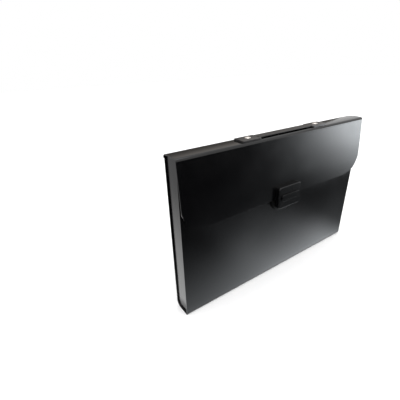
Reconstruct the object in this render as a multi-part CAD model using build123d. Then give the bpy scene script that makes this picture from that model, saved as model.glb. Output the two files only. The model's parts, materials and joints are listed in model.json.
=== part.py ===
from build123d import *
import math
import os

# Upright document file of folded polypropylene sheet, in millimetres.
# X runs along the width, +Y points to the back, +Z up. The origin is the middle of the bottom face.

# case
case_width = 360.0
case_depth = 27.0
crease_height = 222.0
sheet = 1.2
front_fold_radius = 3.0
back_fold_radius = 9.0
front_edge_drop = 5.0
crease_gap = 0.1

# side walls, set in from the ends of the front and back panels
side_inset = 2.0
side_thickness = 1.0
side_tab_width = 9.0
side_tab_drop = 9.0
weld_gap = 0.05
side_top_clearance = 0.6

# top panel and its arch
top_overhang = 1.0
front_lap = 0.4
arch_rise = 6.4
shoulder_rise = 4.9
arch_radius = 70.0
top_fold_radius = 5.0

# closing flap, in the plane of its outer face: down from the front crease
flap_tilt = 2.0
flap_length = 87.5
flap_side_rise = 25.8
flap_corner_in = 10.0
flap_corner_rise = 6.8
flap_edge_in = 36.0
flap_corner_radii = (14.0, 25.0, 60.0)

# carrying handle on the top panel
handle_shift = -3.0
rivet_spacing = 136.0
pad_length = 32.0
pad_width = 19.0
pad_thickness = 2.2
pad_corner_radius = 2.5
strap_width = 13.0
strap_lift = 0.6
strap_edge_radius = 0.6
seat_gap = 0.02

# handle rivets and the washers inside the top panel
rivet_head_radius = 4.4
rivet_head_height = 1.4
rivet_shank_radius = 2.2
rivet_clinch_radius = 3.5
rivet_clinch_height = 0.9
washer_radius = 5.5
washer_thickness = 0.8
pin_clearance = 0.05

# keeper housing on the front panel
keeper_radius = 28.5
keeper_over_prong = 13.4
keeper_top_drop = 4.4
keeper_thickness = 3.8
keeper_slope_drop = 17.0
keeper_toe = 1.5
keeper_edge_radius = 0.8
keeper_slot_floor = 1.0
keeper_rivet_drop = 10.0
keeper_rivet_spacing = 36.0
keeper_rivet_depth = 2.6
keeper_plate_size = (48.0, 9.0)

# latch on the flap
latch_width = 46.0
latch_height = 33.0
latch_thickness = 7.0
latch_overhang = 13.5
latch_corner_radius = 4.0
latch_edge_radius = 1.0
latch_face = 2.0
latch_rivet_spacing = 36.0
latch_rivet_margin = 3.3
latch_rivet_depth = 3.2
latch_plate_size = (44.0, 7.0)

# prong of the latch and the slot that it enters
prong_width = 16.0
prong_height = 4.0
prong_margin = 3.7
prong_length = 3.1
slot_side_clearance = 1.5
slot_lower_clearance = 1.0
slot_upper_clearance = 2.6

# release button in the latch
button_width = 36.5
button_height = 9.5
button_corner_radius = 3.5
button_proud = 2.0
button_travel = 1.6
button_flange = 1.5
button_flange_thickness = 1.0
button_clearance = 0.3
button_slack = 0.1

# small rivets of the clasp and the plates behind them
small_rivet_radius = 1.5
small_head_radius = 2.8
small_head_height = 0.8
small_plate_thickness = 1.0
small_plate_corner = 2.5

front_y = -case_depth / 2
back_y = case_depth / 2
top_front_y = front_y - sheet - front_lap
middle_y = (top_front_y + back_y) / 2
front_top = crease_height - front_edge_drop
case_half = case_width / 2
top_half = case_half + top_overhang

# places down the flap of the latch, its rivets and the prong, and the keeper behind the prong
latch_low_down = flap_length + latch_overhang
latch_centre_down = latch_low_down - latch_height / 2
latch_rivet_down = latch_low_down - latch_height + latch_rivet_margin
prong_down = latch_low_down - prong_margin
prong_level = crease_height - prong_down * math.cos(math.radians(flap_tilt))
keeper_centre_height = prong_level + keeper_over_prong
keeper_rivet_height = keeper_centre_height - keeper_rivet_drop


def trough(inset):
    """The open section of bottom, front and back, drawn inset from the outer faces."""
    low = inset
    high = crease_height + 2 * arch_rise
    path = FilletPolyline(
        (front_y + inset, high),
        (front_y + inset, low),
        (back_y - inset, low),
        (back_y - inset, high),
        radius=[front_fold_radius - inset, back_fold_radius - inset],
    )
    return make_face(path + Line(path @ 1, path @ 0))


def arch(inset):
    """The section under the top panel, from the back crease over the arch to the front crease."""
    low = 0.0
    slope = math.atan2(arch_rise - shoulder_rise, back_y - middle_y)
    peak = crease_height + arch_rise - inset / math.cos(slope)
    shoulder = crease_height + shoulder_rise + inset * math.tan(slope) - inset / math.cos(slope)
    path = FilletPolyline(
        (back_y - inset, low),
        (back_y - inset, shoulder),
        (middle_y, peak),
        (top_front_y + inset, shoulder),
        (top_front_y + inset, low),
        radius=[top_fold_radius - inset, arch_radius - inset, top_fold_radius - inset],
    )
    return make_face(path + Line(path @ 1, path @ 0))


def band(low, high, front, back):
    """A rectangle of the section between two heights and two depths."""
    return Pos((front + back) / 2, (low + high) / 2) * Rectangle(back - front, high - low)


def along_width(section, start, end):
    """Extrude a section from one place on the width to another."""
    return extrude(Plane.YZ.offset(start) * section, amount=end - start)


def rounded_plate(width, height, radius):
    return RectangleRounded(width, height, radius)


def flap_frame():
    """The plane of the flap's outer face: X along the width, Y up, Z outwards."""
    tilt = math.radians(flap_tilt)
    return Plane(
        origin=(0, top_front_y, crease_height),
        x_dir=(1, 0, 0),
        z_dir=(0, -math.cos(tilt), math.sin(tilt)),
    )


def on_flap(sketch, start, end):
    """Extrude a sketch of the flap's plane between two distances outwards from its outer face."""
    return extrude(flap_frame().offset(start) * sketch, amount=end - start)


def on_front(sketch, start, end):
    """Extrude a sketch drawn in X and Z between two distances outwards from the front panel."""
    return extrude(Plane.XZ.offset(start - front_y) * sketch, amount=end - start)


def upright(sketch, start, end):
    """Extrude a sketch drawn in X and Y between two heights."""
    return extrude(Plane.XY.offset(start) * sketch, amount=end - start)


def crown_height():
    """The highest point of the top panel's outer face."""
    return arch(0).bounding_box().max.Y


def in_pair(spacing, sketch, across=0.0):
    """Two copies of a sketch, one each side of the middle."""
    return [Pos(side * spacing / 2, across) * sketch for side in (-1, 1)]


def make_wrap():
    """Back, bottom and front of the folded sheet, parted where the bottom folds end."""
    wall = trough(0) - trough(sheet)
    far = case_depth
    low_front = band(-far, front_fold_radius, -far, 0)
    low_back = band(-far, back_fold_radius, 0, far)
    bottom = along_width(wall & (low_front + low_back), -case_half, case_half)
    front = along_width(wall & band(front_fold_radius, front_top, -far, 0), -case_half, case_half)
    high = crease_height - crease_gap
    back = along_width(wall & band(back_fold_radius, high, 0, far), -case_half, case_half)
    for hole in in_pair(keeper_rivet_spacing, Circle(small_rivet_radius + pin_clearance), keeper_rivet_height):
        front -= on_front(hole, -2 * sheet, sheet)
    return back, bottom, front


def make_side_wall(side):
    """A side wall with the tabs that are welded to the front, bottom and back panels."""
    seat = sheet + weld_gap
    web = trough(seat) & arch(sheet + side_top_clearance)
    tabs = (trough(seat) - trough(seat + side_thickness))
    tabs = tabs & band(0, crease_height - side_tab_drop, -case_depth, case_depth)
    outer = case_half - side_inset
    inner = outer - side_thickness
    wall = along_width(web, inner, outer) + along_width(tabs, inner - side_tab_width, inner)
    return wall if side > 0 else mirror(wall, about=Plane.YZ)


def make_top_panel():
    """The arched top with its two rounded folds, and the holes of the handle's rivets."""
    wall = (arch(0) - arch(sheet)) & band(crease_height + crease_gap, 2 * crease_height, -case_depth, case_depth)
    panel = along_width(wall, -top_half, top_half)
    for hole in in_pair(rivet_spacing, Circle(rivet_shank_radius + pin_clearance), handle_shift):
        panel -= upright(hole, crease_height, crown_height() + sheet)
    return panel


def make_handle():
    """One moulding: two pads that lie over the arch, and the flat strap between them."""
    over = arch(-pad_thickness) - arch(-seat_gap)
    pad_front = handle_shift - pad_width / 2
    pad_back = handle_shift + pad_width / 2
    over = over & band(crease_height, 2 * crease_height, pad_front, pad_back)
    crown = crown_height()
    top = crown + pad_thickness
    handle = None
    for side in (-1, 1):
        middle = side * rivet_spacing / 2
        pad = along_width(over, middle - pad_length / 2, middle + pad_length / 2)
        outline = Pos(middle, handle_shift) * rounded_plate(pad_length, pad_width, pad_corner_radius)
        pad = pad & upright(outline, crease_height - case_depth, top + pad_thickness)
        handle = pad if handle is None else handle + pad
    strap_reach = rivet_spacing / 2 - pad_length / 2 + pad_corner_radius
    strap = Pos(handle_shift, (crown + strap_lift + top) / 2) * RectangleRounded(
        strap_width, top - crown - strap_lift, strap_edge_radius
    )
    handle += along_width(strap, -strap_reach, strap_reach)
    for hole in in_pair(rivet_spacing, Circle(rivet_shank_radius + pin_clearance), handle_shift):
        handle -= upright(hole, crease_height, top + pad_thickness)
    return handle


def washer_top():
    """Where the washer's rim first meets the arched inner face of the top panel."""
    inner_crown = crown_height() - sheet
    reach = abs(handle_shift - washer_radius - middle_y)
    return inner_crown - reach ** 2 / (2 * (arch_radius - sheet)) - pin_clearance


def make_washer(side):
    ring = Circle(washer_radius) - Circle(rivet_shank_radius + pin_clearance)
    place = Pos(side * rivet_spacing / 2, handle_shift)
    return upright(place * ring, washer_top() - washer_thickness, washer_top())


def make_handle_rivet(side):
    """A domed head on the pad, the shank and the clinched end under the washer."""
    seat = crown_height() + pad_thickness + seat_gap
    low = washer_top() - washer_thickness - seat_gap
    shank = Circle(rivet_shank_radius)
    clinch = Circle(rivet_clinch_radius)
    dome_radius = (rivet_head_radius ** 2 + rivet_head_height ** 2) / (2 * rivet_head_height)
    dome = Pos(0, 0, seat + rivet_head_height - dome_radius) * Sphere(dome_radius)
    head = dome & upright(Circle(rivet_head_radius), seat, seat + 2 * rivet_head_height)
    rivet = head + upright(shank, low - rivet_clinch_height, seat)
    rivet += upright(clinch, low - rivet_clinch_height, low)
    return Pos(side * rivet_spacing / 2, handle_shift, 0) * rivet


def make_flap():
    """The closing flap, with its lower corners cut back and rounded."""
    low_corner = top_half - flap_corner_in
    edge_corner = top_half - flap_edge_in
    side_low = flap_side_rise - flap_length
    corner_low = flap_corner_rise - flap_length
    outline = [
        (-top_half, -crease_gap),
        (-top_half, side_low),
        (-low_corner, corner_low),
        (-edge_corner, -flap_length),
        (edge_corner, -flap_length),
        (low_corner, corner_low),
        (top_half, side_low),
        (top_half, -crease_gap),
    ]
    path = FilletPolyline(*outline, radius=list(flap_corner_radii) + list(reversed(flap_corner_radii)))
    flap = on_flap(make_face(path + Line(path @ 1, path @ 0)), -sheet, 0)
    for hole in in_pair(latch_rivet_spacing, Circle(small_rivet_radius + pin_clearance), -latch_rivet_down):
        flap -= on_flap(hole, -2 * sheet, sheet)
    return flap


def make_keeper():
    """The keeper housing: round below, sloping to a thin toe, with the slot for the prong."""
    top = keeper_centre_height - keeper_top_drop
    toe_height = keeper_centre_height - keeper_radius
    disc = Pos(0, keeper_centre_height) * Circle(keeper_radius)
    outline = disc & (Pos(0, top - keeper_radius) * Rectangle(2 * keeper_radius, 2 * keeper_radius))
    block = on_front(outline, 0, keeper_thickness)
    face = make_face(Polyline(
        (front_y, top),
        (front_y - keeper_thickness, top),
        (front_y - keeper_thickness, keeper_centre_height - keeper_slope_drop),
        (front_y - keeper_toe, toe_height),
        (front_y, toe_height),
        close=True,
    ))
    keeper = block & along_width(face, -keeper_radius, keeper_radius)
    rim = keeper.edges().filter_by(lambda edge: edge.bounding_box().max.Y < front_y - keeper_toe / 2)
    keeper = fillet(rim, keeper_edge_radius)
    keeper -= on_front(prong_slot(), keeper_slot_floor, 2 * keeper_thickness)
    for hole in in_pair(keeper_rivet_spacing, Circle(small_rivet_radius + pin_clearance), keeper_rivet_height):
        keeper -= on_front(hole, 0, keeper_rivet_depth + pin_clearance)
    return keeper


def prong_slot():
    """The slot's outline in X and Z, around the prong with room for its swing."""
    tip_drop = prong_length * math.sin(math.radians(flap_tilt))
    low = prong_level - prong_height / 2 - tip_drop - slot_lower_clearance
    high = prong_level + prong_height / 2 + slot_upper_clearance
    return Pos(0, (low + high) / 2) * Rectangle(prong_width + 2 * slot_side_clearance, high - low)


def make_latch():
    """The latch moulding: a shell with a window for the button, and the prong on its back."""
    outline = Pos(0, -latch_centre_down) * rounded_plate(latch_width, latch_height, latch_corner_radius)
    latch = on_flap(outline, 0, latch_thickness)
    outward = flap_frame().z_dir
    rim = latch.faces().sort_by(Axis(origin=(0, 0, 0), direction=outward))[-1].edges()
    latch = fillet(rim, latch_edge_radius)
    room = 2 * (button_flange + button_clearance)
    cavity = Pos(0, -latch_centre_down) * Rectangle(button_width + room, button_height + room)
    latch -= on_flap(cavity, 0, latch_thickness - latch_face)
    window = Pos(0, -latch_centre_down) * rounded_plate(
        button_width + 2 * button_clearance,
        button_height + 2 * button_clearance,
        button_corner_radius + button_clearance,
    )
    latch -= on_flap(window, 0, 2 * latch_thickness)
    for hole in in_pair(latch_rivet_spacing, Circle(small_rivet_radius + pin_clearance), -latch_rivet_down):
        latch -= on_flap(hole, 0, latch_rivet_depth + pin_clearance)
    prong = Pos(0, -prong_down) * Rectangle(prong_width, prong_height)
    return latch + on_flap(prong, -prong_length, 0)


def make_button():
    """The release button: a cap that stands proud of the latch, on a flange that keeps it in."""
    flange_top = latch_thickness - latch_face - button_slack
    cap = Pos(0, -latch_centre_down) * rounded_plate(button_width, button_height, button_corner_radius)
    button = on_flap(cap, flange_top, latch_thickness + button_proud)
    outward = flap_frame().z_dir
    rim = button.faces().sort_by(Axis(origin=(0, 0, 0), direction=outward))[-1].edges()
    button = fillet(rim, button_clearance)
    flange = Pos(0, -latch_centre_down) * Rectangle(
        button_width + 2 * button_flange, button_height + 2 * button_flange
    )
    return button + on_flap(flange, flange_top - button_flange_thickness, flange_top)


def small_rivet(side, head_start, head_end, shank_end, extruder, spacing, across):
    """One small rivet: a flat head inside and a shank outwards."""
    place = Pos(side * spacing / 2, across)
    head = extruder(place * Circle(small_head_radius), head_start, head_end)
    return head + extruder(place * Circle(small_rivet_radius), head_end, shank_end)


def small_plate(size, start, extruder, spacing, across):
    """A backing plate with two holes, from start outwards."""
    width, height = size
    plate = Pos(0, across) * rounded_plate(width, height, small_plate_corner)
    for hole in in_pair(spacing, Circle(small_rivet_radius + pin_clearance), across):
        plate -= hole
    return extruder(plate, start, start + small_plate_thickness)


def clasp_fixings():
    """Rivets and backing plates of the keeper and of the latch."""
    plate_back = -sheet - small_plate_thickness
    head_back = plate_back - small_head_height
    keeper = (on_front, keeper_rivet_spacing, keeper_rivet_height)
    latch = (on_flap, latch_rivet_spacing, -latch_rivet_down)
    return {
        "keeper_plate": small_plate(keeper_plate_size, plate_back, *keeper),
        "left_keeper_rivet": small_rivet(-1, head_back, plate_back, keeper_rivet_depth, *keeper),
        "right_keeper_rivet": small_rivet(1, head_back, plate_back, keeper_rivet_depth, *keeper),
        "latch_plate": small_plate(latch_plate_size, plate_back, *latch),
        "left_latch_rivet": small_rivet(-1, head_back, plate_back, latch_rivet_depth, *latch),
        "right_latch_rivet": small_rivet(1, head_back, plate_back, latch_rivet_depth, *latch),
    }


def build():
    back, bottom, front = make_wrap()
    parts = {
        "back_panel": back,
        "bottom_panel": bottom,
        "front_panel": front,
        "left_side_wall": make_side_wall(-1),
        "right_side_wall": make_side_wall(1),
        "top_panel": make_top_panel(),
        "closing_flap": make_flap(),
        "handle_strap": make_handle(),
        "left_handle_washer": make_washer(-1),
        "right_handle_washer": make_washer(1),
        "left_handle_rivet": make_handle_rivet(-1),
        "right_handle_rivet": make_handle_rivet(1),
        "keeper_housing": make_keeper(),
        "latch_cover": make_latch(),
        "release_button": make_button(),
    }
    parts.update(clasp_fixings())
    return parts


def main():
    os.makedirs("parts", exist_ok=True)
    for name, shape in build().items():
        export_step(shape, f"parts/{name}.step")


if __name__ == "__main__":
    main()
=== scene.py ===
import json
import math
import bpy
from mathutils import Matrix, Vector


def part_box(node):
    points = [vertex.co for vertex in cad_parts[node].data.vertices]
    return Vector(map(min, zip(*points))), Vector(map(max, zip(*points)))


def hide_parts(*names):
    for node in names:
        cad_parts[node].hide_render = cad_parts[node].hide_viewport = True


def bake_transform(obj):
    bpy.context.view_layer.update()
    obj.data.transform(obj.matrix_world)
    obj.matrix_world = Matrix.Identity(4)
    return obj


bl_info = {
    "name": "Document File",
    "version": (1, 0, 0),
    "blender": (4, 5, 0),
    "location": "View3D > Sidebar > Document File",
    "description": "Dresses a slim plastic document file with its folded sheet, handle, clasp and studio",
    "category": "Object",
}

from collections import namedtuple

import bmesh
import bpy
from bpy.props import FloatProperty, FloatVectorProperty, PointerProperty
from mathutils import Matrix, Vector

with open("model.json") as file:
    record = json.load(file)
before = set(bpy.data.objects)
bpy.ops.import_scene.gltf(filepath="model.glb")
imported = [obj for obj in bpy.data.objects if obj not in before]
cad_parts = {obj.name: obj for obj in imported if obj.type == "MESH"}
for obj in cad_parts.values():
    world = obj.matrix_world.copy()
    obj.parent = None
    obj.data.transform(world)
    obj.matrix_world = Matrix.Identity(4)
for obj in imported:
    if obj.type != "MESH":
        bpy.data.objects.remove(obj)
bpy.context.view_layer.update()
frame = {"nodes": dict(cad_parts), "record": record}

MM = 0.001
X, Y, Z = range(3)
ACROSS = (1.0, 0.0, 0.0)
BACKWARD = (0.0, 1.0, 0.0)
UPWARD = (0.0, 0.0, 1.0)
DOWNWARD = (0.0, 0.0, -1.0)
# places that are closer together than this count as one
NEAR = 0.02 * MM

# Outer sizes of the case and its top, read from the frame
WRAP_LOW, WRAP_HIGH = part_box("bottom_panel")
TOP_LOW, TOP_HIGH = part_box("top_panel")
CASE_WIDTH = WRAP_HIGH[X] - WRAP_LOW[X]
CASE_DEPTH = WRAP_HIGH[Y] - WRAP_LOW[Y]
FRONT_Y = WRAP_LOW[Y]
BACK_Y = WRAP_HIGH[Y]
FRONT_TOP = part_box("front_panel")[1][Z]
TOP_WIDTH = TOP_HIGH[X] - TOP_LOW[X]
TOP_FRONT_Y = TOP_LOW[Y]
TOP_DEPTH = BACK_Y - TOP_FRONT_Y
TOP_MIDDLE_Y = (TOP_FRONT_Y + BACK_Y) / 2
HINGES = {joint["name"]: joint for joint in frame["record"]["behaviour"]["joints"]}
CREASE_Z = HINGES["lid_hinge"]["pos_m"][Z]

# The two sheets meet just above the back crease
SEAM_Z = CREASE_Z + 0.35 * MM

# Height over which the sheet bends at each crease: where it starts on one body and ends on the next
BACK_BEND_START = CREASE_Z - 0.8 * MM

# Rows of cuts that let the creases bend smoothly
BEND_STEP = MM / 6
BACK_BEND_ROWS = 7
FRONT_BEND_ROWS = 8
FRONT_BEND_TOP = CREASE_Z + 0.6 * MM
# faces this close to the front of the top are cut at the front crease
FRONT_ZONE = 0.3 * MM

# Flat pieces that each rounded fold is made of
FRONT_FOLD_PIECES = 8
BACK_FOLD_PIECES = 14
RIDGE_PIECES = 8
TOP_FOLD_PIECES = 12

# Grid that the flat parts are divided into, so that they can swell
WRAP_COLUMNS = 24
WRAP_ROWS = 16
FLAP_ROWS = 16
FLAP_COLUMNS = 9
# edges of the flap that are longer than this down the flap are divided into its rows
LONG_EDGE = 20 * MM

# The front swells in one lobe at each side of the keeper: half a wave, of which this share
# fits between the middle and the end of the case, with a sharper peak for a higher power
LOBE_SHARE = 0.85
LOBE_POWER = 4

# The latch's rivets draw the flap out above and beside the latch: how far aside from the middle,
# at what height, and how far around it is felt
PULL_ASIDE = 29 * MM
PULL_HEIGHT = 166 * MM
PULL_REACH = 15 * MM

# The flap's lower corner is three bends: each corner's place in from the flap's end and up from
# its lower edge, the radius that rounds it and the straight pieces that the arc is made of
FlapBend = namedtuple("FlapBend", "inset rise radius pieces")
FLAP_BENDS = (
    FlapBend(0.0, 25.8 * MM, 14 * MM, 2),
    FlapBend(10 * MM, 6.8 * MM, 25 * MM, 5),
    FlapBend(36 * MM, 0.0, 60 * MM, 6),
)


# Colours and materials

# most values of a noise texture lie between these two
NOISE_LOW = 0.3
NOISE_HIGH = 0.7
PLASTIC_IOR = 1.5

# A fade goes from a low to a high level between two places along a direction, and is raised
# to a power. A pool of light is its strength times all of its fades.
Fade = namedtuple("Fade", "along start end low high power curve", defaults=(1.0, "SMOOTHSTEP"))
Pool = namedtuple("Pool", "strength fades")


def linear(hex_code):
    """An sRGB hex colour as linear red, green and blue."""
    values = [int(hex_code[i:i + 2], 16) / 255 for i in (1, 3, 5)]
    return tuple(v / 12.92 if v <= 0.04045 else ((v + 0.055) / 1.055) ** 2.4 for v in values)


def add_node(material, kind, settings=None):
    """Adds a node. Each setting is a property or a socket, with its value or the output that feeds it."""
    tree = material.node_tree
    node = tree.nodes.new(kind)
    for name, value in (settings or {}).items():
        if isinstance(value, bpy.types.NodeSocket):
            tree.links.new(value, node.inputs[name])
        elif isinstance(name, int) or name in node.inputs:
            node.inputs[name].default_value = value
        else:
            setattr(node, name, value)
    return node


def new_material(name):
    """A new material with no shader yet, and the place on the object that its patterns follow."""
    material = bpy.data.materials.new(name)
    material.use_nodes = True
    material.node_tree.nodes.clear()
    return material, add_node(material, "ShaderNodeTexCoord").outputs["Object"]


def finish_material(material, shader):
    """Joins the shader to the material's output."""
    add_node(material, "ShaderNodeOutputMaterial", {"Surface": shader.outputs[0]})
    return material


def polypropylene_sheet(name, settings):
    """Black polypropylene sheet, extruded between polished rolls and folded.

    The rolls leave a high gloss with a slow waviness along the sheet and a very fine
    orange peel, so reflections are clear but soft at their edges.
    """
    material, place = new_material(name)
    # waviness of the rolls, from crest to crest: long across the file, short up and down it
    wave_length = 166.7 * MM
    wave_width = 62.5 * MM
    # orange peel is finer than a millimetre on the real sheet: drawn coarser so that it shows
    peel_size = 1.5385 * MM
    # handling marks change the gloss over a few centimetres
    mark_size = 35.714 * MM

    stretch = add_node(material, "ShaderNodeMapping", {
        "Vector": place, "Scale": (1 / wave_length, 1 / wave_width, 1 / wave_width),
    })
    waves = add_node(material, "ShaderNodeTexNoise", {
        "Vector": stretch.outputs["Vector"], "Scale": 1.0, "Detail": 2.0, "Roughness": 0.4,
    })
    peel = add_node(material, "ShaderNodeTexNoise", {
        "Vector": place, "Scale": 1 / peel_size, "Detail": 3.0, "Roughness": 0.55,
    })
    marks = add_node(material, "ShaderNodeTexNoise", {
        "Vector": place, "Scale": 1 / mark_size, "Detail": 6.0, "Roughness": 0.62,
    })
    gloss = add_node(material, "ShaderNodeMapRange", {
        "Value": marks.outputs["Fac"], "From Min": NOISE_LOW, "From Max": NOISE_HIGH,
        "To Min": 0.13, "To Max": 0.22,
    })
    slow = add_node(material, "ShaderNodeBump", {
        "Height": waves.outputs["Fac"], "Strength": 0.25, "Distance": 0.6 * MM,
    })
    fine = add_node(material, "ShaderNodeBump", {
        "Height": peel.outputs["Fac"], "Normal": slow.outputs["Normal"],
        "Strength": 0.10, "Distance": 0.02 * MM,
    })
    shader = add_node(material, "ShaderNodeBsdfPrincipled", {
        "Base Color": (*settings.sheet_colour, 1.0),
        "IOR": PLASTIC_IOR,
        "Specular IOR Level": settings.sheet_shine,
        "Roughness": gloss.outputs["Result"],
        "Normal": fine.outputs["Normal"],
    })
    return finish_material(material, shader)


def moulded_polypropylene(name, colour, smooth, rough, shine=0.5):
    """Injection-moulded polypropylene from a spark-eroded tool: an even satin grain, a little worn."""
    material, place = new_material(name)
    # the grain is 0.1 mm on the real one: drawn coarser so that it shows
    grain_size = 0.4 * MM
    wear_size = 8.3333 * MM

    grain = add_node(material, "ShaderNodeTexNoise", {
        "Vector": place, "Scale": 1 / grain_size, "Detail": 2.0, "Roughness": 0.5,
    })
    wear = add_node(material, "ShaderNodeTexNoise", {
        "Vector": place, "Scale": 1 / wear_size, "Detail": 4.0, "Roughness": 0.6,
    })
    gloss = add_node(material, "ShaderNodeMapRange", {
        "Value": wear.outputs["Fac"], "From Min": NOISE_LOW, "From Max": NOISE_HIGH,
        "To Min": smooth, "To Max": rough,
    })
    bump = add_node(material, "ShaderNodeBump", {
        "Height": grain.outputs["Fac"], "Strength": 0.2, "Distance": 0.04 * MM,
    })
    shader = add_node(material, "ShaderNodeBsdfPrincipled", {
        "Base Color": (*colour, 1.0),
        "IOR": PLASTIC_IOR,
        "Specular IOR Level": shine,
        "Roughness": gloss.outputs["Result"],
        "Normal": bump.outputs["Normal"],
    })
    return finish_material(material, shader)


def pressed_steel(name, colour, smooth, rough):
    """Pressed steel, plain or bright with nickel plating: a clear reflection with fine polishing marks."""
    material, place = new_material(name)
    # polishing marks are much finer on the real metal: drawn coarser so that they show
    mark_size = 1.1111 * MM

    marks = add_node(material, "ShaderNodeTexNoise", {
        "Vector": place, "Scale": 1 / mark_size, "Detail": 3.0, "Roughness": 0.6,
    })
    gloss = add_node(material, "ShaderNodeMapRange", {
        "Value": marks.outputs["Fac"], "From Min": NOISE_LOW, "From Max": NOISE_HIGH,
        "To Min": smooth, "To Max": rough,
    })
    bump = add_node(material, "ShaderNodeBump", {
        "Height": marks.outputs["Fac"], "Strength": 0.1, "Distance": 0.02 * MM,
    })
    shader = add_node(material, "ShaderNodeBsdfPrincipled", {
        "Base Color": (*colour, 1.0),
        "Metallic": 1.0,
        "Roughness": gloss.outputs["Result"],
        "Normal": bump.outputs["Normal"],
    })
    return finish_material(material, shader)


def matt_paper(name, colour):
    """Matt background paper, rolled out flat: it takes soft shadows and gives no shine."""
    material, _ = new_material(name)
    shader = add_node(material, "ShaderNodeBsdfPrincipled", {
        "Base Color": (*colour, 1.0), "Roughness": 0.9, "Specular IOR Level": 0.1,
    })
    return finish_material(material, shader)


def glowing_card(name, colour, pools, dark=0.0):
    """A studio card that glows in pools of light, over a faint level that is the same all over."""
    material, place = new_material(name)
    level = dark
    for pool in pools:
        light = pool.strength
        for fade in pool.fades:
            way = add_node(material, "ShaderNodeVectorMath", {
                "operation": "DOT_PRODUCT", 0: place, 1: fade.along,
            })
            share = add_node(material, "ShaderNodeMapRange", {
                "interpolation_type": fade.curve, "Value": way.outputs["Value"],
                "From Min": fade.start, "From Max": fade.end, "To Min": fade.low, "To Max": fade.high,
            })
            shaped = add_node(material, "ShaderNodeMath", {
                "operation": "POWER", 0: share.outputs["Result"], 1: fade.power,
            })
            joined = add_node(material, "ShaderNodeMath", {
                "operation": "MULTIPLY", 0: light, 1: shaped.outputs["Value"],
            })
            light = joined.outputs["Value"]
        added = add_node(material, "ShaderNodeMath", {"operation": "ADD", 0: level, 1: light})
        level = added.outputs["Value"]
    glow = add_node(material, "ShaderNodeEmission", {"Color": (*colour, 1.0), "Strength": level})
    return finish_material(material, glow)


def paint(objects, material):
    """Gives every material slot of the objects one material."""
    for obj in objects:
        if not obj.material_slots:
            obj.data.materials.append(material)
        for material_slot in obj.material_slots:
            material_slot.material = material


# Folding and cutting the sheet


def deselect():
    """Leaves edit mode and deselects everything."""
    if bpy.context.object and bpy.context.object.mode != "OBJECT":
        bpy.ops.object.mode_set(mode="OBJECT")
    bpy.ops.object.select_all(action="DESELECT")


def pick(obj, kind, test):
    """Selects the vertices, edges or faces of the mesh being edited that pass a test."""
    bpy.ops.mesh.select_mode(type=kind)
    bpy.ops.mesh.select_all(action="DESELECT")
    mesh = bmesh.from_edit_mesh(obj.data)
    for item in {"VERT": mesh.verts, "EDGE": mesh.edges, "FACE": mesh.faces}[kind]:
        if test(item):
            item.select_set(True)
    mesh.select_flush_mode()
    bmesh.update_edit_mesh(obj.data)


def at(item, axis, value):
    """True where a vertex, or all of an edge or a face, lies at one value of an axis."""
    verts = [item] if isinstance(item, bmesh.types.BMVert) else item.verts
    return all(abs(v.co[axis] - value) < NEAR for v in verts)


def evenly(start, step, count):
    """Places at even steps from a start."""
    return [start + step * i for i in range(count)]


def flat_sheet(name, width, depth, place):
    """A flat rectangle of sheet at its place, open for editing."""
    deselect()
    bpy.ops.mesh.primitive_plane_add(size=1.0, location=place)
    obj = bpy.context.object
    obj.name = name
    obj.data.name = name
    obj.scale = (width, depth, 1.0)
    bpy.ops.object.transform_apply(location=True, rotation=True, scale=True)
    bpy.ops.object.mode_set(mode="EDIT")
    return obj


def fold_out(obj, test, step):
    """Extrudes the edges that pass a test by a step."""
    pick(obj, "EDGE", test)
    bpy.ops.mesh.extrude_region_move(TRANSFORM_OT_translate={"value": step})


def round_fold(obj, test, offset, pieces):
    """Rounds the edges that pass a test with flat pieces, from an offset at each side."""
    pick(obj, "EDGE", test)
    bpy.ops.mesh.bevel(offset=offset, offset_type="OFFSET", segments=pieces, profile=0.5, affect="EDGES")


def cut_at(places, direction):
    """Cuts the whole sheet square to a direction at places along it."""
    for place in places:
        bpy.ops.mesh.select_all(action="SELECT")
        bpy.ops.mesh.bisect(plane_co=Vector(direction) * place, plane_no=direction)


def cut_front(obj, heights):
    """Cuts only the front fold and the top of the flap at some heights."""
    for height in heights:
        pick(obj, "FACE", lambda f: all(v.co.y < TOP_FRONT_Y + FRONT_ZONE for v in f.verts))
        bpy.ops.mesh.bisect(plane_co=(0.0, 0.0, height), plane_no=UPWARD)


def apply_modifier(obj, kind, **settings):
    """Adds a modifier with its settings and applies it."""
    modifier = obj.modifiers.new(kind.title(), kind)
    for name, value in settings.items():
        setattr(modifier, name, value)
    bpy.context.view_layer.objects.active = obj
    bpy.ops.object.modifier_apply(modifier=modifier.name)


def make_solid(obj, thickness, edge):
    """Gives a folded sheet its thickness inwards and eases its cut edges."""
    cut_corner = math.radians(50)
    smooth_turn = math.radians(20)
    bpy.ops.mesh.select_all(action="SELECT")
    bpy.ops.mesh.remove_doubles(threshold=NEAR / 2)
    bpy.ops.mesh.normals_make_consistent(inside=False)
    bpy.ops.object.mode_set(mode="OBJECT")
    apply_modifier(obj, "SOLIDIFY", thickness=thickness, offset=-1.0, use_even_offset=True)
    apply_modifier(obj, "BEVEL", width=edge, segments=2, limit_method="ANGLE", angle_limit=cut_corner)
    bpy.ops.object.shade_smooth_by_angle(angle=smooth_turn)


def face_out(obj, test, direction):
    """Turns the mesh's faces so that a face that passes the test looks the given way."""
    mesh = bmesh.from_edit_mesh(obj.data)
    mesh.normal_update()
    for face in mesh.faces:
        if test(face) and face.normal.dot(Vector(direction)) < 0:
            bpy.ops.mesh.select_all(action="SELECT")
            bpy.ops.mesh.flip_normals()
            return


def push_out(obj, reach_at):
    """Moves each vertex of the mesh being edited towards the front, as far as its place asks."""
    mesh = bmesh.from_edit_mesh(obj.data)
    for vert in mesh.verts:
        vert.co.y -= reach_at(vert.co)
    bmesh.update_edit_mesh(obj.data)


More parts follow.
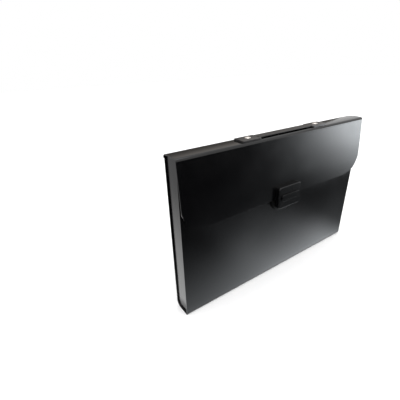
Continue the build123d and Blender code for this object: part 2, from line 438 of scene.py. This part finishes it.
def flap_outline(half_width, length):
    """Places along the flap's lower corner: across from the middle, and down from the crease."""
    bends = [Vector((half_width - bend.inset, length - bend.rise)) for bend in FLAP_BENDS]
    corners = [Vector((half_width, 0.0)), *bends, Vector((0.0, length))]
    places = []
    for before, corner, after, bend in zip(corners, corners[1:], corners[2:], FLAP_BENDS):
        first = (before - corner).normalized()
        second = (after - corner).normalized()
        half = first.angle(second) / 2
        middle = corner + (first + second).normalized() * bend.radius / math.sin(half)
        start = corner + first * bend.radius / math.tan(half)
        finish = corner + second * bend.radius / math.tan(half)
        for step in range(bend.pieces + 1):
            spoke = start.lerp(finish, step / bend.pieces) - middle
            places.append(tuple(middle + spoke.normalized() * bend.radius))
    return places


# Sizes and colours that a user would change


class SheetSettings(bpy.types.PropertyGroup):
    """The folded sheet: its folds, how far it swells and curls, and its colour"""

    sheet_thickness: FloatProperty(
        name="Sheet thickness", description="Thickness of the folded sheet", default=0.0012, unit="LENGTH"
    )
    front_fold: FloatProperty(
        name="Front fold", description="Outer radius of the fold under the front", default=0.003,
        unit="LENGTH",
    )
    back_fold: FloatProperty(
        name="Back fold", description="Outer radius of the fold under the back", default=0.009, unit="LENGTH"
    )
    top_fold: FloatProperty(
        name="Top fold", description="Outer radius of the two folds of the top", default=0.0038,
        unit="LENGTH",
    )
    shoulder_rise: FloatProperty(
        name="Shoulder rise", description="Height of the top's corners over the crease", default=0.0049,
        unit="LENGTH",
    )
    arch_rise: FloatProperty(
        name="Arch rise", description="Height of the top's ridge over the crease before it is rounded",
        default=0.0064, unit="LENGTH",
    )
    arch_radius: FloatProperty(
        name="Arch radius", description="Radius of the rounded ridge of the top", default=0.07, unit="LENGTH"
    )
    flap_tilt: FloatProperty(
        name="Flap tilt", description="How far the flap stands off from the front at rest",
        default=math.radians(2.0), subtype="ANGLE",
    )
    flap_length: FloatProperty(
        name="Flap length", description="Length of the flap from its crease to its edge", default=0.0875,
        unit="LENGTH",
    )
    front_swell: FloatProperty(
        name="Front swell", description="How far the front stands out at each side of the keeper",
        default=0.002, unit="LENGTH",
    )
    flap_swell: FloatProperty(
        name="Flap swell", description="How far the middle of the flap's height stands out", default=0.0006,
        unit="LENGTH",
    )
    flap_curl: FloatProperty(
        name="Flap curl", description="How far the flap's lower corners curl out from the clasp",
        default=0.0035, unit="LENGTH",
    )
    rivet_pull: FloatProperty(
        name="Rivet pull", description="How far the flap is drawn out beside the clasp's rivets",
        default=0.0004, unit="LENGTH",
    )
    cut_edge: FloatProperty(
        name="Cut edge", description="How much the cut edges of the sheet are eased", default=0.00012,
        unit="LENGTH",
    )
    sheet_colour: FloatVectorProperty(
        name="Sheet colour", description="Colour of the sheet", subtype="COLOR", default=linear("#050506")
    )
    sheet_shine: FloatProperty(
        name="Sheet shine", description="Strength of the sheet's reflection", default=0.5, subtype="FACTOR"
    )


class HandleSettings(bpy.types.PropertyGroup):
    """Colours of the carrying handle and its metal fasteners"""

    handle_colour: FloatVectorProperty(
        name="Handle colour", description="Colour of the moulded strap", subtype="COLOR",
        default=linear("#211f20"),
    )
    rivet_colour: FloatVectorProperty(
        name="Rivet colour", description="Colour of the plated rivets", subtype="COLOR",
        default=linear("#e2dcd6"),
    )
    washer_colour: FloatVectorProperty(
        name="Washer colour", description="Colour of the plain steel washers", subtype="COLOR",
        default=linear("#b9b8b6"),
    )


class ClaspSettings(bpy.types.PropertyGroup):
    """Colours of the clasp's mouldings"""

    clasp_colour: FloatVectorProperty(
        name="Clasp colour", description="Colour of the moulded clasp", subtype="COLOR",
        default=linear("#040405"),
    )
    # the keeper has the clasp's own black, and its dull, low-shine material is painted shade that makes it
    # read black like a shadowed recess
    keeper_colour: FloatVectorProperty(
        name="Keeper colour", description="Colour of the matt keeper housing", subtype="COLOR",
        default=linear("#050505"),
    )


class StageSettings(bpy.types.PropertyGroup):
    """The studio floor's colour and the camera"""

    floor_colour: FloatVectorProperty(
        name="Floor colour", description="Colour of the studio floor", subtype="COLOR",
        default=linear("#ffffff"),
    )
    camera_place: FloatVectorProperty(
        name="Camera place", description="Where the camera stands", subtype="TRANSLATION",
        default=(-0.3175, -0.2686, 0.3150),
    )
    camera_yaw: FloatProperty(
        name="Camera yaw", description="Turn of the view from the back direction to the right",
        default=math.radians(33.114), subtype="ANGLE",
    )
    camera_pitch: FloatProperty(
        name="Camera pitch", description="How far the camera looks down", default=math.radians(25.367),
        subtype="ANGLE",
    )
    camera_roll: FloatProperty(
        name="Camera roll", description="Turn of the camera about its own view", default=math.radians(2.264),
        subtype="ANGLE",
    )
    focal_length: FloatProperty(
        name="Focal length", description="Focal length of the lens in millimetres", default=25.451
    )


# Materials, then the pieces of the file


class DOCFILE_OT_materials(bpy.types.Operator):
    """Makes the materials of the sheet, the mouldings and the metal"""

    bl_idname = "docfile.materials"
    bl_label = "Make Materials"

    def execute(self, context):
        sheet = context.scene.docfile_sheet
        handle = context.scene.docfile_handle
        clasp = context.scene.docfile_clasp
        polypropylene_sheet("polypropylene_sheet", sheet)
        moulded_polypropylene("moulded_handle", handle.handle_colour, smooth=0.28, rough=0.40)
        moulded_polypropylene("moulded_clasp", clasp.clasp_colour, smooth=0.16, rough=0.26)
        # painted shade: the keeper's shine is turned down and its gloss dulled so that it reads black as if
        # in shadow
        moulded_polypropylene("matt_keeper", clasp.keeper_colour, smooth=0.5, rough=0.6, shine=0.1)
        pressed_steel("nickel_plated_steel", handle.rivet_colour, smooth=0.12, rough=0.24)
        pressed_steel("plain_steel", handle.washer_colour, smooth=0.3, rough=0.42)
        return {"FINISHED"}


class DOCFILE_OT_case_wrap(bpy.types.Operator):
    """Folds the front, bottom and back of the case from one sheet"""

    bl_idname = "docfile.case_wrap"
    bl_label = "Fold Case Wrap"

    def execute(self, context):
        sizes = context.scene.docfile_sheet
        wrap = flat_sheet("case_wrap", CASE_WIDTH, CASE_DEPTH, (0.0, (FRONT_Y + BACK_Y) / 2, 0.0))
        fold_out(wrap, lambda e: at(e, Y, FRONT_Y), (0.0, 0.0, FRONT_TOP))
        fold_out(wrap, lambda e: at(e, Y, BACK_Y) and at(e, Z, 0.0), (0.0, 0.0, SEAM_Z))
        round_fold(wrap, lambda e: at(e, Y, FRONT_Y) and at(e, Z, 0.0), sizes.front_fold, FRONT_FOLD_PIECES)
        round_fold(wrap, lambda e: at(e, Y, BACK_Y) and at(e, Z, 0.0), sizes.back_fold, BACK_FOLD_PIECES)
        columns = [CASE_WIDTH * (i / WRAP_COLUMNS - 0.5) for i in range(1, WRAP_COLUMNS)]
        rows = [FRONT_TOP * i / WRAP_ROWS for i in range(1, WRAP_ROWS)]
        cut_at(columns, ACROSS)
        cut_at(rows + evenly(BACK_BEND_START, BEND_STEP, BACK_BEND_ROWS), UPWARD)
        push_out(wrap, lambda place: self.lobes(place, sizes))
        face_out(wrap, lambda f: f.calc_center_median().z < NEAR, DOWNWARD)
        make_solid(wrap, sizes.sheet_thickness, sizes.cut_edge)
        paint([wrap], bpy.data.materials["polypropylene_sheet"])
        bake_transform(wrap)
        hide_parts("front_panel", "bottom_panel", "back_panel")
        return {"FINISHED"}

    def lobes(self, place, sizes):
        """How far the front stands out: most at half its height, in one lobe at each side of the keeper."""
        if place.y > FRONT_Y + NEAR:
            return 0.0
        up = math.sin(math.pi * min(max(place.z / FRONT_TOP, 0.0), 1.0)) ** 2
        side = abs(place.x) / (CASE_WIDTH / 2)
        across = math.sin(math.pi * min(side * LOBE_SHARE, 1.0)) ** LOBE_POWER
        return sizes.front_swell * up * across


class DOCFILE_OT_top_sheet(bpy.types.Operator):
    """Folds the arched top and the closing flap from one sheet"""

    bl_idname = "docfile.top_sheet"
    bl_label = "Fold Top and Flap"

    def execute(self, context):
        sizes = context.scene.docfile_sheet
        ridge_zone = 2 * MM
        down = Vector((0.0, -math.sin(sizes.flap_tilt), -math.cos(sizes.flap_tilt)))
        top = self.fold_sheet(sizes, down)
        self.trim_flap(top, sizes, down)
        self.round_folds(top, sizes)
        self.divide_flap(top)
        push_out(top, lambda place: self.bulge(place, sizes))
        face_out(top, lambda f: abs(f.calc_center_median().y - TOP_MIDDLE_Y) < ridge_zone, UPWARD)
        make_solid(top, sizes.sheet_thickness, sizes.cut_edge)
        paint([top], bpy.data.materials["polypropylene_sheet"])
        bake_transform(top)
        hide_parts("top_panel", "closing_flap")
        return {"FINISHED"}

    def fold_sheet(self, sizes, down):
        """Raises the ridge of the top and folds down its back, its front and the flap."""
        shoulder = CREASE_Z + sizes.shoulder_rise
        top = flat_sheet("top_sheet", TOP_WIDTH, TOP_DEPTH, (0.0, TOP_MIDDLE_Y, shoulder))
        cut_at([TOP_MIDDLE_Y], BACKWARD)
        pick(top, "VERT", lambda v: at(v, Y, TOP_MIDDLE_Y))
        bpy.ops.transform.translate(value=(0.0, 0.0, sizes.arch_rise - sizes.shoulder_rise))
        fold_out(top, lambda e: at(e, Y, BACK_Y), (0.0, 0.0, SEAM_Z - shoulder))
        fold_out(top, lambda e: at(e, Y, TOP_FRONT_Y), (0.0, 0.0, CREASE_Z - shoulder))
        flap = tuple(down * sizes.flap_length)
        fold_out(top, lambda e: at(e, Y, TOP_FRONT_Y) and at(e, Z, CREASE_Z), flap)
        return top

    def trim_flap(self, top, sizes, down):
        """Cuts the flap's lower corners back to their rounded outline."""
        outline = flap_outline(TOP_WIDTH / 2, sizes.flap_length)
        corner = [x for x, _ in outline[1:]]
        straight = [corner[-1] * i / FLAP_COLUMNS for i in range(FLAP_COLUMNS)]
        right = corner + straight
        left = [-x for x in right if x > NEAR]
        cut_at(right + left, ACROSS)
        edge_y = TOP_FRONT_Y + down.y * sizes.flap_length
        for x, reach in outline:
            pick(top, "VERT", lambda v: at(v, Y, edge_y) and abs(abs(v.co.x) - x) < 2 * NEAR)
            bpy.ops.transform.translate(value=tuple(down * (reach - sizes.flap_length)))

    def round_folds(self, top, sizes):
        """Rounds the ridge of the arch, then the folds at the back and the front of the top."""
        shoulder = CREASE_Z + sizes.shoulder_rise
        slope = math.atan2(sizes.arch_rise - sizes.shoulder_rise, TOP_DEPTH / 2)
        ridge = sizes.arch_radius * math.tan(slope)
        fold = sizes.top_fold * math.tan(math.pi / 4 - slope / 2)
        round_fold(top, lambda e: at(e, Y, TOP_MIDDLE_Y), ridge, RIDGE_PIECES)
        for side in (BACK_Y, TOP_FRONT_Y):
            round_fold(top, lambda e: at(e, Z, shoulder) and at(e, Y, side), fold, TOP_FOLD_PIECES)

    def divide_flap(self, top):
        """Divides the flap into rows, and into finer ones where it bends at its crease."""

        def hangs(edge):
            low, high = sorted(v.co.z for v in edge.verts)
            return high < CREASE_Z + NEAR and high - low > LONG_EDGE

        pick(top, "EDGE", hangs)
        bpy.ops.mesh.subdivide(number_cuts=FLAP_ROWS - 1)
        cut_front(top, evenly(FRONT_BEND_TOP, -BEND_STEP, FRONT_BEND_ROWS))

    def bulge(self, place, sizes):
        """How far the flap stands out: its swell, the curl of its corners and the pull of the rivets."""
        down = (CREASE_Z - place.z) / (sizes.flap_length * math.cos(sizes.flap_tilt))
        if down <= 0.0 or place.y > TOP_FRONT_Y + NEAR:
            return 0.0
        out = sizes.flap_swell * math.sin(math.pi * min(down, 1.0)) ** 2
        out += sizes.flap_curl * (place.x / (TOP_WIDTH / 2)) ** 2 * down
        for side in (-1, 1):
            away = math.hypot(place.x - side * PULL_ASIDE, place.z - PULL_HEIGHT) / PULL_REACH
            out += sizes.rivet_pull * math.exp(-away ** 2)
        return out


class DOCFILE_OT_side_walls(bpy.types.Operator):
    """Finishes the side walls, which are cut from the same sheet"""

    bl_idname = "docfile.side_walls"
    bl_label = "Finish Side Walls"

    def execute(self, context):
        walls = [frame["nodes"][name] for name in ("left_side_wall", "right_side_wall")]
        paint(walls, bpy.data.materials["polypropylene_sheet"])
        return {"FINISHED"}


class DOCFILE_OT_handle(bpy.types.Operator):
    """Finishes the carrying handle, its rivets and washers"""

    bl_idname = "docfile.handle"
    bl_label = "Finish Handle"

    def execute(self, context):
        nodes = frame["nodes"]
        rivets = [nodes["left_handle_rivet"], nodes["right_handle_rivet"]]
        washers = [nodes["left_handle_washer"], nodes["right_handle_washer"]]
        paint([nodes["handle_strap"]], bpy.data.materials["moulded_handle"])
        paint(rivets, bpy.data.materials["nickel_plated_steel"])
        paint(washers, bpy.data.materials["plain_steel"])
        return {"FINISHED"}


class DOCFILE_OT_clasp(bpy.types.Operator):
    """Finishes the latch, its button and the keeper"""

    bl_idname = "docfile.clasp"
    bl_label = "Finish Clasp"

    def execute(self, context):
        nodes = frame["nodes"]
        names = [
            "keeper_plate", "left_keeper_rivet", "right_keeper_rivet", "latch_cover",
            "latch_plate", "left_latch_rivet", "right_latch_rivet", "release_button",
        ]
        paint([nodes[name] for name in names], bpy.data.materials["moulded_clasp"])
        # the keeper gets the dull material that paints its shade
        paint([nodes["keeper_housing"]], bpy.data.materials["matt_keeper"])
        return {"FINISHED"}


# The studio: a paper floor, an overhead light, and glowing cards that only the glossy sheet mirrors, as
# painted reflections

FLOOR_SIZE = 12.0
# the two floor cards meet on a line just before the case, and lie this far over the floor
CARD_LINE_Y = -15 * MM
CARD_LIFT = 0.8 * MM
# how far back and forward each floor card reaches, and the height of the back wall's card
CARD_REACH = 3.0
BACK_CARD_Y = 2.99
# middle, across, of the two wide cards, and of the narrow one that ends left of the case
WIDE_CARD_X = 1.0
LEFT_CARD_X = -0.985
FRONT_CARD_WIDTH = 6.0
LEFT_CARD_WIDTH = 1.6
BACK_CARD_WIDTH = 8.0

# direction from the left of the case to the right and away, which the light at the right follows
SLANT = (0.68, 0.73, 0.0)
# the two pools on the slant lie far before the case
FAR_ONLY = Fade(BACKWARD, -0.36, -0.17, 1.0, 0.0)
FRONT_POOLS = (
    # painted reflection of a white floor next to the case, dimmer at both ends
    Pool(2.68, (
        Fade(BACKWARD, -0.30, 0.0, 0.0, 1.0, 4.4, "LINEAR"),
        Fade(ACROSS, -0.17, 0.02, 0.55, 1.0),
        Fade(ACROSS, 0.12, 0.24, 1.0, 0.15),
    )),
    # a faint glow before the middle and the right of the case
    Pool(0.175, (
        Fade(BACKWARD, -0.27, -0.20, 0.0, 1.0),
        Fade(ACROSS, -0.08, 0.0, 0.0, 1.0),
        Fade(ACROSS, 0.12, 0.30, 1.0, 0.4),
    )),
    # painted reflection of a large soft light at the right, and its faint edge
    Pool(6.18, (Fade(SLANT, -0.10, 0.55, 0.0, 1.0, 1.5), FAR_ONLY)),
    Pool(0.124, (Fade(SLANT, -0.25, 0.0, 0.0, 1.0), FAR_ONLY)),
)
FRONT_DARK = 0.0103
# painted reflection for the side wall: a floor that is brighter near the case
LEFT_POOLS = (Pool(1.0, (Fade(ACROSS, -0.40, -0.14, 0.62, 1.9),)),)
# painted reflection for the top: a back wall that is brighter higher up
BACK_POOLS = (Pool(1.0, (Fade(UPWARD, 0.9, 3.0, 0.13, 1.0),)),)


class DOCFILE_OT_stage(bpy.types.Operator):
    """Sets the floor, the light and the camera"""

    bl_idname = "docfile.stage"
    bl_label = "Set Stage"

    def execute(self, context):
        settings = context.scene.docfile_stage
        self.set_floor(settings)
        self.set_cards()
        self.set_light(context)
        self.set_camera(context, settings)
        return {"FINISHED"}

    def set_floor(self, settings):
        """A wide flat floor of matt paper."""
        deselect()
        bpy.ops.mesh.primitive_plane_add(size=FLOOR_SIZE, location=(0.0, 0.0, 0.0))
        floor = bpy.context.object
        floor.name = "studio_floor"
        paint([floor], matt_paper("matt_paper", settings.floor_colour))

    def card(self, name, width, place, material, tilt=0.0):
        """A card that only reflections show: it lights nothing and hides nothing."""
        deselect()
        bpy.ops.mesh.primitive_plane_add(size=1.0, location=place, rotation=(tilt, 0.0, 0.0))
        card = bpy.context.object
        card.name = name
        card.scale = (width, CARD_REACH, 1.0)
        bpy.ops.object.transform_apply(location=True, rotation=True, scale=True)
        for ray in ("camera", "diffuse", "shadow", "transmission", "volume_scatter"):
            setattr(card, f"visible_{ray}", False)
        paint([card], material)

    def set_cards(self):
        """The cards before the case, at its left and far behind it."""
        half = CARD_REACH / 2
        cool_white, white, warm_white = linear("#f6fbff"), linear("#ffffff"), linear("#fff7ef")
        # painted reflections: these cards glow only for the glossy sheet, in place of a lit floor, a soft
        # light and a back wall
        front = glowing_card("front_floor_glow", cool_white, FRONT_POOLS, FRONT_DARK)
        left = glowing_card("left_floor_glow", white, LEFT_POOLS)
        back = glowing_card("back_wall_glow", warm_white, BACK_POOLS)
        front_place = (WIDE_CARD_X, CARD_LINE_Y - half, CARD_LIFT)
        left_place = (LEFT_CARD_X, CARD_LINE_Y + half, CARD_LIFT)
        back_place = (WIDE_CARD_X, BACK_CARD_Y, half)
        self.card("front_floor_card", FRONT_CARD_WIDTH, front_place, front)
        self.card("left_floor_card", LEFT_CARD_WIDTH, left_place, left)
        self.card("back_wall_card", BACK_CARD_WIDTH, back_place, back, tilt=math.pi / 2)

    def set_light(self, context):
        """A white room and one wide soft light overhead."""
        world = bpy.data.worlds.new("studio_world")
        world.use_nodes = True
        background = world.node_tree.nodes["Background"]
        background.inputs["Color"].default_value = (*linear("#ffffff"), 1.0)
        background.inputs["Strength"].default_value = 1.0
        context.scene.world = world
        tilt = math.radians(14.0)
        bpy.ops.object.light_add(type="SUN", location=(0.0, -0.5, 2.0), rotation=(tilt, 0.0, 0.0))
        overhead = context.object
        overhead.name = "overhead_light"
        overhead.data.energy = 1.5
        overhead.data.angle = math.radians(60.0)
        context.scene.view_settings.view_transform = "Standard"

    def set_camera(self, context, settings):
        """The camera, turned by its yaw and pitch and then rolled about its own view."""
        bpy.ops.object.camera_add(location=settings.camera_place)
        camera = context.object
        camera.name = "photo_camera"
        camera.data.sensor_width = 36.0
        camera.data.lens = settings.focal_length
        camera.data.clip_start = 0.01
        camera.data.clip_end = 50.0
        yaw, pitch, roll = settings.camera_yaw, settings.camera_pitch, settings.camera_roll
        level = math.cos(pitch)
        ahead = Vector((math.sin(yaw) * level, math.cos(yaw) * level, -math.sin(pitch)))
        right = Vector((math.cos(yaw), -math.sin(yaw), 0.0))
        down = ahead.cross(right)
        turned_right = math.cos(roll) * right + math.sin(roll) * down
        turned_down = -math.sin(roll) * right + math.cos(roll) * down
        turn = Matrix((turned_right, -turned_down, -ahead)).transposed()
        camera.rotation_euler = turn.to_euler()
        context.scene.camera = camera


# The panel in the sidebar, and what runs the operators in order


class DOCFILE_PT_panel(bpy.types.Panel):
    """Lists the settings and the operators of the document file"""

    bl_idname = "DOCFILE_PT_panel"
    bl_label = "Document File"
    bl_space_type = "VIEW_3D"
    bl_region_type = "UI"
    bl_category = "Document File"

    def draw(self, context):
        for name, group in GROUPS.items():
            box = self.layout.box()
            owner = getattr(context.scene, name)
            for setting in group.__annotations__:
                box.prop(owner, setting)
        for operator in OPERATORS:
            self.layout.operator(operator.bl_idname)


GROUPS = {
    "docfile_sheet": SheetSettings,
    "docfile_handle": HandleSettings,
    "docfile_clasp": ClaspSettings,
    "docfile_stage": StageSettings,
}
OPERATORS = (
    DOCFILE_OT_materials,
    DOCFILE_OT_case_wrap,
    DOCFILE_OT_top_sheet,
    DOCFILE_OT_side_walls,
    DOCFILE_OT_handle,
    DOCFILE_OT_clasp,
    DOCFILE_OT_stage,
)


def register():
    """Registers the settings, the operators and the panel."""
    for group in GROUPS.values():
        bpy.utils.register_class(group)
    for name, group in GROUPS.items():
        setattr(bpy.types.Scene, name, PointerProperty(type=group))
    for operator in OPERATORS:
        bpy.utils.register_class(operator)
    bpy.utils.register_class(DOCFILE_PT_panel)


def unregister():
    """Takes away all that register has added, in the opposite order."""
    bpy.utils.unregister_class(DOCFILE_PT_panel)
    for operator in reversed(OPERATORS):
        bpy.utils.unregister_class(operator)
    for name in GROUPS:
        delattr(bpy.types.Scene, name)
    for group in reversed(GROUPS.values()):
        bpy.utils.unregister_class(group)


def main():
    """Runs every operator in order."""
    register()
    for operator in OPERATORS:
        family, name = operator.bl_idname.split(".")
        getattr(getattr(bpy.ops, family), name)()


if __name__ == "__main__":
    main()
